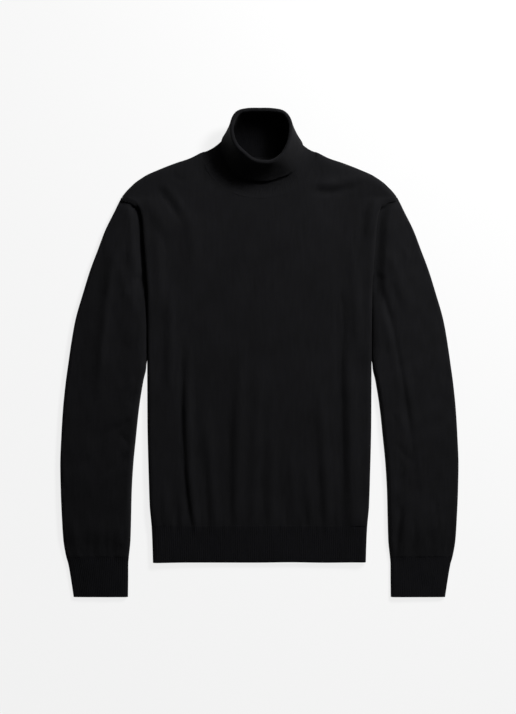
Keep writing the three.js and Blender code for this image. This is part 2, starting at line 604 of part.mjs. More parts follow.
function standNormal(turn, share) {
  const step = 0.02;
  const up = standPoint(turn, Math.min(share + step, 1)).sub(standPoint(turn, Math.max(share - step, 0)));
  const round = standPoint(turn + 2, share).sub(standPoint(turn - 2, share));
  return new THREE.Vector3().crossVectors(round, up).normalize();
}

const STAND_SHARES = [0, 0.15, 0.32, 0.5, 0.68, 0.85, 1];
const ROLL_TURNS = [45, 90, 135, 180]; // degrees round the fold
const FLAP_STEPS = [0.25, 0.5, 0.75, 1]; // from the fold to the folded-over part's edge

function collar() {
  const gapAt = (step) => mix(COLLAR_ROLL * 2, FLAP_GAP, step);
  const rows = [...STAND_SHARES, ...ROLL_TURNS, ...FLAP_STEPS].map(() => []);
  for (let j = 0; j < COLUMNS.collar; j += 1) {
    const turn = (360 * j) / COLUMNS.collar;
    const crest = standPoint(turn, 1);
    const outward = standNormal(turn, 1);
    const upward = crest.clone().sub(standPoint(turn, 0.93)).normalize();
    const profile = STAND_SHARES.map((share) => standPoint(turn, share));
    for (const roll of ROLL_TURNS) {
      const angle = (roll * Math.PI) / 180;
      profile.push(
        crest
          .clone()
          .addScaledVector(outward, COLLAR_ROLL * (1 - Math.cos(angle)))
          .addScaledVector(upward, COLLAR_ROLL * Math.sin(angle)),
      );
    }
    for (const step of FLAP_STEPS) {
      const share = 1 - step * FLAP_SHARE;
      const point = standPoint(turn, share).addScaledVector(standNormal(turn, share), gapAt(step));
      point.z = Math.max(point.z, HALF_CLOTH);
      profile.push(point);
    }
    profile.forEach((point, i) => rows[i].push(point));
  }
  return clothWall(rows, { ring: true });
}

const KNIT = { color: 0x141416, roughness: 0.95, metalness: 0 };
const RIB_KNIT = { color: 0x111113, roughness: 0.95, metalness: 0 };

function piece(name, geometry, look) {
  const mesh = new THREE.Mesh(geometry, new THREE.MeshStandardMaterial(look));
  mesh.name = name;
  return mesh;
}

const sweater = new THREE.Group();
sweater.add(
  piece("front_panel", frontPanel(), KNIT),
  piece("back_panel", backPanel(), KNIT),
  piece("front_hem_rib", frontHem(), RIB_KNIT),
  piece("back_hem_rib", backHem(), RIB_KNIT),
  piece("left_sleeve", sleeve(1, LEFT_SLEEVE_FOLDS), KNIT),
  piece("right_sleeve", sleeve(-1, RIGHT_SLEEVE_FOLDS), KNIT),
  piece("left_cuff_rib", cuff(1, LEFT_SLEEVE_FOLDS), RIB_KNIT),
  piece("right_cuff_rib", cuff(-1, RIGHT_SLEEVE_FOLDS), RIB_KNIT),
  piece("collar", collar(), RIB_KNIT),
);

export default sweater;
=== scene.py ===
# The laid-out turtleneck sweater, dressed for a render: the same cut pieces as the solids, cut
# finer, with their creases, ribs, seams and knit. Sizes are in millimetres until make_object.
import math
import bpy
import numpy as np
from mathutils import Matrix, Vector


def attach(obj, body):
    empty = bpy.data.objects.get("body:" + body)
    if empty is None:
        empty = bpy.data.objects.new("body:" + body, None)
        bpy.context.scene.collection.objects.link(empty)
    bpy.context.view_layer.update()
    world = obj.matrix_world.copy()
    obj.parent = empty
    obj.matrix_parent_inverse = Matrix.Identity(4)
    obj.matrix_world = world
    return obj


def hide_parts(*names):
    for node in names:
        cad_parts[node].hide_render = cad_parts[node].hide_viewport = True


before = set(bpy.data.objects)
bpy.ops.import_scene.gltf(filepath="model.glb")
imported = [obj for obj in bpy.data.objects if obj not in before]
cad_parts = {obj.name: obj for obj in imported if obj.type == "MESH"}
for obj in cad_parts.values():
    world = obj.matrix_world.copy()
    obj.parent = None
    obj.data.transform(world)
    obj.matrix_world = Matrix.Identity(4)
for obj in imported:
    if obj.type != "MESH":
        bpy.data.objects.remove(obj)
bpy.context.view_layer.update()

# Half of the knit's thickness here and in the solids, and the distance of two pressed layers
HALF = 0.7
CAD_HALF = 0.75
LAYER = 1.8
TUCK = 58  # how far the front's sides run back under it

# Heights along the body where pieces meet or end
HEM_SEAM_Y = -291.5
HEM_END_Y = -353
CUFF_SEAM_Y = -343
CUFF_END_Y = -411.3
UNDERARM_Y = 113
FOLLOW_Y = 200  # above it the panels' rows close up towards the neckline
TIP_Y = 261  # the shoulder's end
TIP_SLANT = 0.108  # read in front_row_y
# The neck curve: half its width, the height of its ends, and its depth in front and behind
NECK_HALF, NECK_Y, FRONT_DROP, BACK_DROP = 96, 337, 77, 9

# How high the pieces are domed, and how their edges turn
BODY_HEIGHT = 6.6
FOLD_SINK = 0.9  # taken off the dome, because the folds add to it
SIDE_RISE = 5.2
SIDE_BULGE = 5.5
HEM_SIDE_RISE = SIDE_RISE * 0.55
ARMHOLE_RISE = 2.2
ARMHOLE_EDGE, ARMHOLE_MIDDLE = 5.2, 3.6  # below the top: the rolled side's end, and its middle
ARMHOLE_GAP = 0.25
SHOULDER_ROUNDING = 13
HEM_HEIGHT = 6.4
HEM_DROP = 0.8  # how far the rib's free end is pressed down
ARM_HEIGHT = 11.5
ARM_END_HEIGHT = 6.8  # where the cuff pulls the sleeve together
ARM_EDGE = 5
ARM_ROUNDING = 14
CUFF_HEIGHT = 6
CUFF_DROP = 0.7
END_ROUNDING = 2.5

# Ribs, collar, and the size and height of the slow waves
RIB_PITCH = 3.6
RIB_DEPTH = 0.44
RIB_COLUMNS = 6
COLLAR_RIB_DEPTH = 0.16
ROLL = 2.6
FLAP_SHARE = 0.52
FLAP_GAP = 3.6  # from the stand out to the flap's free end
FLAP_SWELL = 0.9
NECK_GAP = 0.3
WAVES = 14
FRONT_RIPPLE = (46, 0.34)
ARM_RIPPLE = (40, 0.38)
HEM_RIPPLE = (60, 0.12)
HEM_END_RIPPLE = (130, 0.45)

# How fine the grids are
STEP = 3.4
BACK_STEP = 12
SIDE_COLUMNS, NECK_COLUMNS = 42, 52
ARM_COLUMNS = 84
FOLD_STEPS = 8

# y, half width
BODY_SIDE = np.array([
    (-353.5, 179.2), (-320, 180.2), (-291.5, 181.6), (-258, 184.6), (-211, 186.2), (-117, 188.4),
    (-23, 188.8), (60, 189.4), (113, 190.2), (155, 193), (189, 195.6), (219, 198), (236, 201),
    (246, 206), (256, 216), (261, 231),
])
# x, y from the neck to the shoulder's end
SHOULDER = np.array([
    (0, 384), (96, 337), (118, 326), (138, 319.3), (156, 312.6), (172.5, 305.8), (188, 299),
    (199, 292.3), (208.5, 285.6), (215.5, 279), (222.5, 272), (231, 261.5),
])
# y, outer x, inner x
SLEEVE_SIDE = np.array([
    (261, 232.2, 229), (258.7, 233.4, 223), (238.6, 243, 202.5), (205, 259.6, 197),
    (171, 272.5, 194.2), (137.8, 285, 191.8), (104, 295.5, 190.9), (54, 309.8, 190.1),
    (20, 316, 189.9), (-24, 322.4, 190.3), (-47, 325.6, 195), (-94, 330.5, 202.4),
    (-141, 333.4, 207.4), (-188, 335.2, 212), (-235, 334.3, 214.7), (-282, 332.2, 215.8),
    (-316, 330, 216.8), (-343, 325.5, 219.4), (-356, 321.8, 220.5), (-380, 317.6, 220.6),
    (-411.3, 312.8, 221),
])[::-1]
# from x, y; by x, y; to x, y; rise, width, fade
FRONT_FOLDS = np.array([
    (-158, -296, -156, -262, -160, -200, 2.2, 8, 0.5),
    (-132, -296, -131, -270, -136, -220, 2.1, 6, 0.5),
    (-106, -300, -120, -215, -123, -25, 4.4, 8, 0.22),
    (-74, -300, -79, -230, -94, -50, 2.8, 10, 0.35),
    (-40, -300, -39, -190, -28, 60, 3.7, 10, 0.35),
    (-11, -300, -7, -200, 1, 20, 1.9, 8, 0.45),
    (20, -300, 21, -210, 19, -60, 2.2, 9, 0.45),
    (57, -300, 57, -220, 50, -130, 1.7, 9, 0.45),
    (86, -300, 83, -250, 80, -170, 1.7, 7, 0.45),
    (114, -300, 114, -210, 98, -20, 3.2, 9, 0.35),
    (157, -300, 158, -200, 146, 40, 4.2, 13, 0.25),
    (-150, -70, -151, 20, -147, 130, 2.9, 9, 0.4),
    (165, 0, 163, 100, 158, 200, 2.5, 9, 0.4),
    (-192, 262, -172, 236, -146, 184, 2.6, 12, 0.4),
    (98, 284, 138, 281, 190, 300, 2.6, 9, 0.35),
    (198, 262, 186, 230, 178, 180, 2.6, 9, 0.4),
    (-176, 205, -166, 150, -166, 60, 2.2, 9, 0.4),
    (-120, 236, -108, 190, -112, 120, 1.8, 12, 0.5),
])
RIGHT_ARM_FOLDS = np.array([
    (242, 180, 264, 60, 272, -120, 2.4, 11, 0.3),
    (214, -85, 226, -110, 246, -128, 1.8, 9, 0.35),
    (230, 150, 226, 110, 206, 60, 1.6, 10, 0.4),
    (300, -350, 312, -318, 316, -270, 1.8, 9, 0.35),
    (236, -350, 232, -320, 238, -270, 1.5, 8, 0.35),
    (268, -348, 270, -315, 266, -260, 1.2, 9, 0.4),
])
LEFT_ARM_FOLDS = np.array([
    (206, 66, 238, 0, 258, -130, 2.6, 10, 0.25),
    (214, 170, 236, 130, 252, 60, 1.8, 11, 0.35),
    (242, -350, 244, -310, 248, -250, 2, 8, 0.35),
    (300, -350, 302, -315, 300, -240, 1.5, 9, 0.35),
    (272, -348, 274, -320, 270, -270, 1.3, 8, 0.35),
    (222, -100, 240, -118, 262, -150, 1.4, 10, 0.4),
])
# The finer creases that the solids don't have. A rise below 0 is a trough.
FRONT_CREASES = np.array([
    (-145, -298, -147, -280, -150, -255, 0.8, 3.5, 0.5),
    (-92, -298, -93, -282, -96, -262, 0.8, 3.5, 0.5),
    (-58, -298, -58, -285, -56, -262, 0.7, 3.5, 0.5),
    (2, -298, 4, -284, 7, -262, 0.7, 3.5, 0.5),
    (38, -298, 38, -282, 36, -258, 0.8, 3.5, 0.5),
    (72, -298, 71, -284, 69, -262, 0.7, 3.2, 0.5),
    (100, -298, 100, -284, 97, -266, 0.7, 3.2, 0.5),
    (132, -298, 131, -276, 134, -250, 1.0, 4, 0.5),
    (170, -298, 171, -270, 172, -235, 1.1, 5, 0.5),
    (-171, -298, -171, -275, -173, -250, 0.9, 4, 0.5),
    (-174, 278, -150, 253, -122, 203, -2.4, 5.5, 0.5),
    (88, 270, 132, 263, 182, 289, -2.2, 5.5, 0.5),
    (177, 242, 173, 205, 170, 150, -1.6, 8, 0.5),
    (-147, 297, -132, 290, -116, 286, -0.8, 5, 0.5),
    (123, 289, 138, 288, 155, 285, -0.8, 4, 0.5),
    (162, 196, 166, 150, 160, 70, -1.0, 6, 0.5),
    (137, 110, 133, -60, 143, -296, -3.1, 8, 0.25),
    (-112, -298, -138, -190, -128, 45, -2.4, 4.5, 0.25),
    (-118, -130, -120, -50, -119, 35, 1.5, 6, 0.4),
    (-47, -298, -51, -200, -46, -60, -1.3, 6, 0.4),
    (-84, -298, -90, -230, -93, -160, -1.3, 6, 0.45),
    (-139, -298, -137, -270, -134, -235, -1.2, 5, 0.5),
    (5, -298, 6, -260, 8, -195, -1.1, 6, 0.5),
    (80, -298, 80, -270, 78, -235, -0.9, 5, 0.5),
    (105, -298, 104, -250, 96, -150, -1.1, 6, 0.45),
    (-162, 287, -138, 260, -111, 213, 1.5, 6, 0.5),
    (80, 284, 132, 277, 176, 303, 1.2, 6, 0.5),
])
RIGHT_ARM_CREASES = np.array([
    (222, -203, 226, -212, 236, -222, -0.8, 4, 0.5),
    (236, -134, 224, -150, 214, -163, -1.4, 6, 0.5),
    (202, -66, 210, -72, 222, -82, -1.0, 5, 0.5),
    (306, -327, 300, -336, 292, -347, -1.0, 4, 0.5),
    (231, -322, 236, -328, 242, -340, -0.9, 4, 0.5),
    (286, -345, 285, -320, 282, -290, 0.7, 4, 0.5),
    (254, -345, 253, -325, 250, -296, 0.7, 4, 0.5),
    (224, 198, 226, 150, 226, 97, -1.2, 7, 0.5),
    (216, -111, 233, -122, 253, -143, -2.0, 6, 0.5),
    (220, -167, 240, -193, 263, -210, -2.3, 6, 0.5),
    (243, 170, 263, 60, 271, -90, 1.3, 6.5, 0.4),
    (220, 106, 231, 88, 247, 60, 1.3, 7, 0.45),
    (208, -42, 224, -56, 243, -66, 1.2, 6, 0.45),
    (222, 18, 232, 6, 247, -22, -1.0, 7, 0.45),
    (300, -180, 306, -225, 305, -270, 1.0, 9, 0.5),
])
LEFT_ARM_CREASES = np.array([
    (200, 157, 205, 130, 196, 100, -1.2, 6, 0.5),
    (222, -102, 228, -112, 236, -122, -1.0, 5, 0.5),
    (240, -256, 232, -300, 230, -340, -3.0, 5.5, 0.4),
    (202, 112, 240, 10, 262, -215, -3.0, 6, 0.3),
    (294, -239, 300, -280, 303, -327, -0.9, 5, 0.5),
    (261, -283, 261, -300, 261, -327, -0.8, 4, 0.5),
    (282, -345, 281, -320, 279, -290, 0.7, 4, 0.5),
    (310, -345, 312, -320, 314, -285, 0.8, 4, 0.5),
    (241, 179, 248, 165, 253, 150, 0.9, 5, 0.5),
    (228, -150, 246, -178, 266, -192, -1.2, 7, 0.45),
    (238, -176, 236, -215, 232, -245, -1.5, 7, 0.45),
    (220, 120, 232, 92, 240, 60, -1.1, 7, 0.45),
    (292, 60, 304, 0, 306, -80, 0.9, 9, 0.5),
    (268, -180, 276, -215, 274, -255, 0.9, 8, 0.5),
])


def mix(a, b, share):
    return a + (b - a) * share


def smooth(low, high, value):
    share = np.clip((np.asarray(value, float) - low) / (high - low), 0, 1)
    return share * share * (3 - 2 * share)


def round_over(distance, radius):
    share = 1 - np.clip(distance / radius, 0, 1)
    return np.sqrt(1 - share * share)


def read(rows, column, at):
    """A column of a table at places between its rows, with no overshoot, as the solids read it."""
    keys, values = rows[:, 0], rows[:, column]
    slope = np.diff(values) / np.diff(keys)
    before, after = slope[:-1], slope[1:]
    total = np.where(before + after == 0, 1, before + after)
    inner = np.where(before * after <= 0, 0, 2 * before * after / total)
    tangent = np.concatenate([[slope[0]], inner, [slope[-1]]])
    at = np.clip(at, keys[0], keys[-1])
    i = np.clip(np.searchsorted(keys, at) - 1, 0, len(keys) - 2)
    span = keys[i + 1] - keys[i]
    t = (at - keys[i]) / span
    return (values[i] * (1 + 2 * t) * (1 - t) ** 2 + tangent[i] * span * t * (1 - t) ** 2
            + values[i + 1] * t * t * (3 - 2 * t) + tangent[i + 1] * span * t * t * (t - 1))


def body_half(y):
    return read(BODY_SIDE, 1, y)


def flat_half(y):
    return body_half(y) - CAD_HALF - SIDE_BULGE


def shoulder_y(x):
    return read(SHOULDER, 1, np.abs(x))


def sleeve_outer(y):
    return read(SLEEVE_SIDE, 1, y)


def sleeve_inner(y):
    return read(SLEEVE_SIDE, 2, y)


def fold_rise(folds, x, y):
    """The height that a set of folds adds: each is a soft ridge or trough along a bent line."""
    x, y = np.broadcast_arrays(np.asarray(x, float), np.asarray(y, float))
    rise = np.zeros(x.shape)
    for fx, fy, mx, my, tx, ty, high, width, fade in folds:
        nearest = np.full(x.shape, 1e9)
        share = np.zeros(x.shape)
        t = np.linspace(0, 1, FOLD_STEPS + 1)
        px = (1 - t) ** 2 * fx + 2 * t * (1 - t) * mx + t * t * tx
        py = (1 - t) ** 2 * fy + 2 * t * (1 - t) * my + t * t * ty
        for i in range(FOLD_STEPS):
            bx, by = px[i + 1] - px[i], py[i + 1] - py[i]
            along = np.clip(((x - px[i]) * bx + (y - py[i]) * by) / (bx * bx + by * by), 0, 1)
            distance = np.hypot(x - px[i] - along * bx, y - py[i] - along * by)
            closer = distance < nearest
            nearest = np.where(closer, distance, nearest)
            share = np.where(closer, (i + along) / FOLD_STEPS, share)
        ends = smooth(-0.05, fade * 0.5, share) * smooth(0, fade, 1 - share)
        rise += high * ends * np.exp(-((nearest / width) ** 2))
    return rise


def ripple(x, y, seed, size, high):
    """Slow uneven waves, as cloth that was laid by hand has. size is about their length."""
    rng = np.random.default_rng(seed)
    total = np.zeros(np.broadcast(x, y).shape)
    for _ in range(WAVES):
        angle, phase = rng.uniform(0, math.pi), rng.uniform(0, 2 * math.pi)
        length = size * rng.uniform(0.7, 1.8)
        total += np.sin((np.cos(angle) * x + np.sin(angle) * y) * 2 * math.pi / length + phase)
    return high * total / math.sqrt(WAVES)


def tuck_share(y):
    """1 where the front's sides are tucked under, 0 above the underarm."""
    return 1 - smooth(UNDERARM_Y - 18, UNDERARM_Y - 10, y)


def back_tuck_share(y):
    return 1 - smooth(UNDERARM_Y - 9, UNDERARM_Y - 1, y)


def ground_share(y):
    """1 where the rolled side comes down to the surface, 0 where it lies over the sleeve."""
    return 1 - smooth(UNDERARM_Y - 5, UNDERARM_Y + 6, y)


def tip_share(y):
    """1 at the shoulder's end, where the side opens out flat."""
    return smooth(238, 254, y)


def front_height(x, y, fine=True):
    across = np.clip(np.abs(x) / body_half(y), 0, 1)
    raised = smooth(UNDERARM_Y - 80, UNDERARM_Y + 20, y) * ARMHOLE_RISE * across ** 8
    height = BODY_HEIGHT + SIDE_RISE * across ** 3 + raised + fold_rise(FRONT_FOLDS, x, y) - FOLD_SINK
    if fine:
        height = height + fold_rise(FRONT_CREASES, x, y) + ripple(x, y, 3, *FRONT_RIPPLE)
    # over the tucked sides there are three layers below the front
    lowest = mix(CAD_HALF + LAYER, CAD_HALF + 3 * LAYER, smooth(0.5, 0.62, across))
    shoulder = round_over((shoulder_y(x) - y) * 0.9, SHOULDER_ROUNDING)
    return mix(CAD_HALF + LAYER, np.maximum(height, lowest), shoulder)


TURNS = np.linspace(0.16, 2, 13)  # quarter turns round a side's roll
UNDER_SHARES = np.array([0.04, 0.25, 0.6, 1])  # places on the way back under


def side_path(y, top):
    """The way round one side for one row: offsets out, and heights."""
    ground, tip = float(ground_share(y)), float(tip_share(y))
    bottom = mix(top - ARMHOLE_EDGE, CAD_HALF, ground)
    middle = mix(top - ARMHOLE_MIDDLE, (top + CAD_HALF) / 2, ground)
    under = mix(0.15, 1, ground)
    angle = TURNS * math.pi / 2
    upper = TURNS <= 1
    out = np.where(upper, np.sin(angle), 1 - under * (1 - np.sin(angle))) * SIDE_BULGE
    high = np.where(upper, mix(middle, top, np.cos(angle)), mix(middle, bottom, -np.cos(angle)))
    back = mix(0.2, TUCK, float(tuck_share(y)) * ground)
    out = np.append(out, out[-1] - back * UNDER_SHARES)
    high = np.append(high, high[-1] - (1 - ground) * 0.6 * UNDER_SHARES)
    share = np.arange(1, len(out) + 1) / len(out)
    flat_high = mix(top, max(top - 1.6, CAD_HALF + LAYER), share ** 2)
    return mix(out, SIDE_BULGE * share, tip), mix(high, flat_high, tip)


def with_sides(main, y_at=None):
    """A row of the front with both its sides.

    y_at, for rows that may reach the shoulder's end, gives the height for offsets past the row.
    """
    sides = []
    for end, sign in ((0, -1), (-1, 1)):
        x, y, top = main[end]
        out, high = side_path(y, top)
        side_y = mix(y, y_at(out), float(tip_share(y))) if y_at else np.full(len(out), y)
        sides.append(np.stack([x + sign * out, side_y, high], -1))
    return np.concatenate([sides[0][::-1], main, sides[1]])


def make_object(name, points, faces, material):
    """An object of quads from points in millimetres. It rides on the only body."""
    mesh = bpy.data.meshes.new(name)
    mesh.vertices.add(len(points))
    mesh.vertices.foreach_set("co", (np.asarray(points) * 0.001).astype(np.float32).ravel())
    faces = np.asarray(faces, np.int32)
    mesh.loops.add(faces.size)
    mesh.loops.foreach_set("vertex_index", faces.ravel())
    mesh.polygons.add(len(faces))
    mesh.polygons.foreach_set("loop_start", np.arange(0, faces.size, 4, dtype=np.int32))
    mesh.update(calc_edges=True)
    mesh.polygons.foreach_set("use_smooth", np.ones(len(faces), bool))
    mesh.set_sharp_from_angle(angle=math.radians(50))
    mesh.validate()
    thing = bpy.data.objects.new(name, mesh)
    bpy.context.scene.collection.objects.link(thing)
    mesh.materials.append(material)
    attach(thing, "root")
    return thing


def cloth_wall(name, grid, material, ring=False, raised=None, raised_inside=None):
    """A wall of cloth round a grid of points: rows, columns, xyz.

    raised lifts its outer face by a height for each point, and raised_inside its inner face.
    """
    rows, columns = grid.shape[:2]
    along = np.empty_like(grid)
    along[1:-1] = grid[2:] - grid[:-2]
    along[0], along[-1] = grid[1] - grid[0], grid[-1] - grid[-2]
    if ring:
        across = np.roll(grid, -1, 1) - np.roll(grid, 1, 1)
    else:
        across = np.empty_like(grid)
        across[:, 1:-1] = grid[:, 2:] - grid[:, :-2]
        across[:, 0], across[:, -1] = grid[:, 1] - grid[:, 0], grid[:, -1] - grid[:, -2]
    normal = np.cross(across, along)
    normal /= np.maximum(np.linalg.norm(normal, axis=2, keepdims=True), 1e-9)
    lift = HALF if raised is None else HALF + raised[..., None]
    outer = (grid + normal * lift).reshape(-1, 3)
    drop = HALF if raised_inside is None else HALF + raised_inside[..., None]
    inner = (grid - normal * drop).reshape(-1, 3)
    count = rows * columns
    index = np.arange(count).reshape(rows, columns)
    following = np.roll(index, -1, 1) if ring else index[:, 1:]
    first = index if ring else index[:, :-1]
    top = np.stack([first[:-1], following[:-1], following[1:], first[1:]], -1).reshape(-1, 4)
    faces = [top, top[:, ::-1] + count]
    faces.append(np.stack([first[0], first[0] + count, following[0] + count, following[0]], -1))
    faces.append(np.stack([following[-1], following[-1] + count, first[-1] + count, first[-1]], -1))
    if not ring:
        low, high = index[:-1, 0], index[1:, 0]
        faces.append(np.stack([high, high + count, low + count, low], -1))
        low, high = index[:-1, -1], index[1:, -1]
        faces.append(np.stack([low, low + count, high + count, high], -1))
    return make_object(name, np.concatenate([outer, inner]), np.concatenate(faces), material)


def layered_sheet(name, top, bottom, material):
    """A closed sheet between two grids of points."""
    rows, columns = top.shape[:2]
    count = rows * columns
    index = np.arange(count).reshape(rows, columns)
    corners = (index[:-1, :-1], index[:-1, 1:], index[1:, 1:], index[1:, :-1])
    quads = np.stack(corners, -1).reshape(-1, 4)
    faces = [quads, quads[:, ::-1] + count]
    for a, b in ((index[0, :-1], index[0, 1:]), (index[-1, 1:], index[-1, :-1]),
                 (index[1:, 0], index[:-1, 0]), (index[:-1, -1], index[1:, -1])):
        faces.append(np.stack([a, a + count, b + count, b], -1))
    points = np.concatenate([top.reshape(-1, 3), bottom.reshape(-1, 3)])
    return make_object(name, points, np.concatenate(faces), material)


def neckline(x, drop):
    """A panel's upper edge: the shoulders, and between them the neck's curve with its drop."""
    share = np.clip(np.abs(x) / NECK_HALF, 0, 1)
    curve = np.minimum(NECK_Y - drop * np.sqrt(1 - share * share), shoulder_y(x))
    return np.where(np.abs(x) >= NECK_HALF, shoulder_y(x), curve)


def neck_shares(edge, side_columns, neck_columns):
    """Places across the front from -1 to 1, closer together at the neck's ends."""
    neck = NECK_HALF / edge
    turn = np.linspace(0, 1, neck_columns + 1)
    middle = neck * mix(-np.cos(math.pi * turn), 2 * turn - 1, 0.35)
    side = np.linspace(neck, 1, side_columns + 1)[1:]
    return np.concatenate([-side[::-1], middle, side])


def rows_between(marks, step):
    """Rows no further apart than step that keep every mark."""
    out = [marks[0]]
    for a, b in zip(marks, marks[1:]):
        count = max(1, math.ceil(abs(b - a) / step))
        out += list(np.linspace(a, b, count + 1)[1:])
    return np.array(out)


# The knit's bump: how far a stitch's halves lean, what stitch and column add, its depth in metres
STITCH_LEAN = 1.3
STITCH_RELIEF, COLUMN_RELIEF = 0.35, -0.5
BUMP_DEPTH = 0.00022
# Its noises' scale and detail, what the slow ones add to the tone, and how far the loops' relief darkens
# the tone in their hollows and lightens it on their tops, as painted shade and highlight
FUZZ, STREAK, CLOUD = (900, 4), (260, 3), (14, 2)
STREAK_STRETCH = (1, 0.12, 1)
STREAK_TONE, CLOUD_TONE, LOOP_PAINTED_LIGHT = 0.55, 0.45, 0.06


def new_material(name, rough, gloss):
    material = bpy.data.materials.new(name)
    material.use_nodes = True
    shader = material.node_tree.nodes["Principled BSDF"]
    shader.inputs["Roughness"].default_value = rough
    shader.inputs["Specular IOR Level"].default_value = gloss
    return material, shader


def knit(name, dark, light, wale, course, rough, gloss=0.14, sheen=0.022):
    """Black wool: V-shaped stitches as bump, a soft fuzz, slow changes of tone, and sheen.

    wale and course are a stitch's width and height in millimetres.
    """
    material, shader = new_material(name, rough, gloss)
    shader.inputs["Sheen Weight"].default_value = sheen
    shader.inputs["Sheen Roughness"].default_value = 0.45
    nodes, link = material.node_tree.nodes, material.node_tree.links.new
    place = nodes.new("ShaderNodeTexCoord").outputs["Object"]
    split = nodes.new("ShaderNodeSeparateXYZ")
    link(place, split.inputs[0])

    def work_out(operation, a, b=None):
        node = nodes.new("ShaderNodeMath")
        node.operation = operation
        for socket, value in zip(node.inputs, (a, b)):
            if isinstance(value, (int, float)):
                socket.default_value = value
            elif value is not None:
                link(value, socket)
        return node.outputs[0]

    def noise(scale, detail, vector):
        node = nodes.new("ShaderNodeTexNoise")
        node.inputs["Scale"].default_value = scale
        node.inputs["Detail"].default_value = detail
        link(vector, node.inputs["Vector"])
        return node.outputs["Fac"]

    across = work_out("MULTIPLY", split.outputs["X"], 1000 / wale)
    half = work_out("ABSOLUTE", work_out("SUBTRACT", work_out("FRACT", across), 0.5))
    along = work_out("MULTIPLY", split.outputs["Y"], 1000 / course)
    along = work_out("ADD", along, work_out("MULTIPLY", half, STITCH_LEAN))
    stitch = work_out("SINE", work_out("MULTIPLY", along, 2 * math.pi))
    column = work_out("COSINE", work_out("MULTIPLY", half, 2 * math.pi))
    loops = work_out("ADD", work_out("MULTIPLY", stitch, STITCH_RELIEF),
                     work_out("MULTIPLY", column, COLUMN_RELIEF))
    bump = nodes.new("ShaderNodeBump")
    bump.inputs["Strength"].default_value = 0.5
    bump.inputs["Distance"].default_value = BUMP_DEPTH
    link(work_out("ADD", loops, noise(*FUZZ, place)), bump.inputs["Height"])
    link(bump.outputs["Normal"], shader.inputs["Normal"])

    stretch = nodes.new("ShaderNodeMapping")
    stretch.inputs["Scale"].default_value = STREAK_STRETCH
    link(place, stretch.inputs["Vector"])
    streak = work_out("MULTIPLY", noise(*STREAK, stretch.outputs["Vector"]), STREAK_TONE)
    cloud = work_out("MULTIPLY", noise(*CLOUD, place), CLOUD_TONE)
    # The loops' relief in the tone is painted shade in the stitches' hollows and painted highlight on
    # their tops.
    tone = work_out("ADD", work_out("ADD", streak, cloud), work_out("MULTIPLY", loops, LOOP_PAINTED_LIGHT))
    ramp = nodes.new("ShaderNodeValToRGB")
    for stop, position, colour in zip(ramp.color_ramp.elements, (0.3, 0.7), (dark, light)):
        stop.position = position
        stop.color = (*colour, 1)
    link(tone, ramp.inputs["Fac"])
    link(ramp.outputs["Color"], shader.inputs["Base Color"])
    return material


# Darkest and lightest tone, a stitch's width and height in millimetres, roughness
PLAIN = knit("plain_knit", (0.0014, 0.0014, 0.0019), (0.0038, 0.0038, 0.0048), 1.5, 1.15, 0.92)
RIB = knit("rib_knit", (0.0009, 0.0009, 0.0015), (0.0022, 0.0022, 0.0033), 1.8, 1.15, 0.94)
COLLAR = knit("collar_knit", (0.0016, 0.0016, 0.0021), (0.0036, 0.0036, 0.0046), 1.5, 1.15, 0.92)
# A darker, less glossy copy of the collar's knit: painted shade for the stand's inside, which the raised
# collar shades.
COLLAR_PAINTED_SHADE = knit("collar_inside_painted_shade_knit", (0.0009, 0.0009, 0.0012), (0.002, 0.002, 0.0026),
                     1.5, 1.15, 0.95, gloss=0.06, sheen=0.008)
THREAD = knit("seam_thread", (0.0021, 0.0021, 0.0026), (0.0037, 0.0037, 0.0046), 1.1, 0.9, 0.9)


# Front panel
FRONT_MARKS = [HEM_SEAM_Y + 0.1, 95, 99, 103, 108, 113.5, 119, 135, FOLLOW_Y]
UPPER_ROWS = 34


def front_rows():
    edge = float(flat_half(TIP_Y))
    shares = neck_shares(edge, SIDE_COLUMNS, NECK_COLUMNS)

    def row(y_at):
        y = y_at(shares * edge)
        x = shares * flat_half(y)
        return with_sides(np.stack([x, y, front_height(x, y)], -1), lambda out: y_at(edge + out))

    rows = [row(lambda x, y=y: np.full(len(x), y)) for y in rows_between(FRONT_MARKS, STEP)]
    for share in 1 - (1 - np.linspace(0, 1, UPPER_ROWS + 1)[1:]) ** 1.25:
        rows.append(row(lambda x, share=share: mix(FOLLOW_Y, neckline(x, FRONT_DROP), share)))
    return np.array(rows)


front = cloth_wall("front_panel_knit", front_rows(), PLAIN)
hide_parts("front_panel")


# Back panel and the back of the waist rib
BACK_MARKS = [HEM_SEAM_Y + 0.1, 99, 104, 108, 112, 125, FOLLOW_Y]
# Shares of the way from FOLLOW_Y to the neckline
BACK_RISES = (0.1, 0.21, 0.3, 0.39, 0.47, 0.54, 0.6, 0.65, 0.69, 0.72, 0.755, 0.79, 0.825, 0.86,
              0.93, 1)


def back_half(y):
    return flat_half(y) - mix(0.8, 1.6, smooth(UNDERARM_Y - 14, UNDERARM_Y - 9, y))


def back_layers(x, y):
    """The sheet's upper and lower face. Where the sides are tucked it lies on them, doubled."""
    inner_edge = flat_half(y) - TUCK
    tucked = back_tuck_share(y) * smooth(inner_edge - 18, inner_edge - 3, np.abs(x))
    rounding = mix(1, round_over(back_half(y) - np.abs(x) + 0.4, 1.8), tucked)
    low, high = tucked * LAYER, 2 * CAD_HALF + tucked * 2 * LAYER
    middle = (low + high) / 2
    return [np.stack([x, y, mix(middle, face, rounding)], -1) for face in (high, low)]


